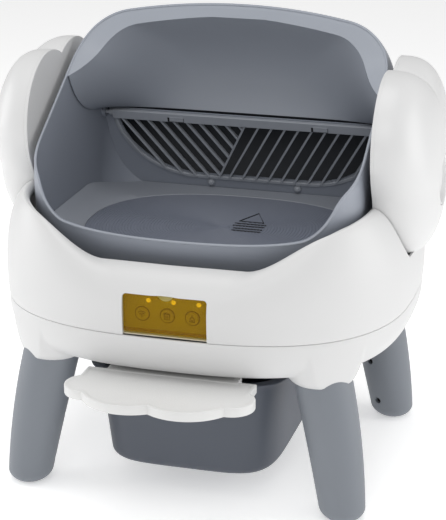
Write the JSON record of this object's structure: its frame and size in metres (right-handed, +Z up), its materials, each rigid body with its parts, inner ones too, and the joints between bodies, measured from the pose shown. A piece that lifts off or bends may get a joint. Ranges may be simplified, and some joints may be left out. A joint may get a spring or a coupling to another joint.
{
  "type": "self-cleaning litter box",
  "caption": "Self-cleaning cat litter box: a tilting grey drum with a hinged sieve between two lobed white pods, on a tub with legs, a scalloped step, a control panel and a pull-out waste bin.",
  "frame": {"origin": "on the floor under the middle of the bounding box", "axes": "+X to the right seen from the front, +Y to the back, +Z up; the step faces -Y"},
  "size_m": [0.625, 0.603, 0.631],
  "materials": {
    "shell_white": "satin moulded",
    "pod_white": "soft gloss moulded",
    "drum_grey": "satin moulded",
    "hood_grey": "satin moulded",
    "ring_grey": "satin moulded",
    "mat_grey": "fine ribbed",
    "sieve_grey": "satin moulded",
    "leg_grey": "fine grained",
    "bin_grey": "satin moulded",
    "pad_black": "matte",
    "inner_grey": "matte moulded",
    "nylon": "satin moulded",
    "steel": "zinc plated",
    "black_steel": "black oxide",
    "amber": "clear tinted",
    "panel_white": "satin",
    "lens_orange": "gloss",
    "board_green": "solder mask"
  },
  "bodies": {
    "base": {"lower_shell": "shell_white", "upper_shell": "shell_white", "pod_plate_left": "shell_white", "pod_plate_right": "shell_white", "pod_cover_left": "pod_white", "pod_cover_right": "pod_white", "hub_dish_left": "pod_white", "hub_dish_right": "pod_white", "pivot_tower_left": "inner_grey", "pivot_tower_right": "inner_grey", "bush_left": "nylon", "bush_right": "nylon", "gearbox": "inner_grey", "drive_motor": "steel", "leg_front_left": "leg_grey", "leg_front_right": "leg_grey", "leg_rear_left": "leg_grey", "leg_rear_right": "leg_grey", "foot_pads": "pad_black", "leg_screws": "black_steel", "step_plate": "shell_white", "step_screws": "steel", "bin_rail_left": "shell_white", "bin_rail_right": "shell_white", "panel_tray": "panel_white", "control_board": "board_green", "indicator_lenses": "lens_orange", "power_inlet": "inner_grey"},
    "drum": {"drum_bowl": "drum_grey", "hood_guide": "hood_grey", "litter_ring": "ring_grey", "litter_mat": "mat_grey", "sieve_frame": "drum_grey", "sieve_stops": "sieve_grey", "shaft_left": "inner_grey", "shaft_right": "inner_grey", "shaft_clips": "steel", "drive_gear": "nylon"},
    "sieve": {"sieve": "sieve_grey"},
    "pinion": {"drive_pinion": "nylon"},
    "bin": {"waste_bin": "bin_grey"},
    "flap": {"panel_flap": "amber"},
    "key_left": {"button_left": "panel_white"},
    "key_middle": {"button_middle": "panel_white"},
    "key_right": {"button_right": "panel_white"}
  },
  "joints": [
    {"name": "drum_turn", "type": "hinge", "parent": "base", "child": "drum", "pos_m": [0, 0.0615, 0.424], "axis": [-1, 0, 0], "range_deg": [0, 175]},
    {"name": "pinion_turn", "type": "hinge", "parent": "base", "child": "pinion", "pos_m": [0.265, 0.10686, 0.48385], "axis": [-1, 0, 0], "range_deg": [-705, 5]},
    {"name": "sieve_swing", "type": "hinge", "parent": "drum", "child": "sieve", "pos_m": [0, 0.1915, 0.45], "axis": [-1, 0, 0], "range_deg": [0, 30]},
    {"name": "bin_slide", "type": "slide", "parent": "base", "child": "bin", "axis": [0, -1, 0], "range_m": [0, 0.33]},
    {"name": "flap_turn", "type": "hinge", "parent": "base", "child": "flap", "pos_m": [0, -0.2078, 0.2695], "axis": [1, 0, 0], "range_deg": [0, 80]},
    {"name": "key_left_press", "type": "slide", "parent": "base", "child": "key_left", "axis": [0, 1, 0], "range_m": [0, 0.0012], "stiffness_N_per_m": 400},
    {"name": "key_middle_press", "type": "slide", "parent": "base", "child": "key_middle", "axis": [0, 1, 0], "range_m": [0, 0.0012], "stiffness_N_per_m": 400},
    {"name": "key_right_press", "type": "slide", "parent": "base", "child": "key_right", "axis": [0, 1, 0], "range_m": [0, 0.0012], "stiffness_N_per_m": 400}
  ],
  "couplings": [
    {"joint": "pinion_turn", "follows": "drum_turn", "ratio": -4}
  ]
}
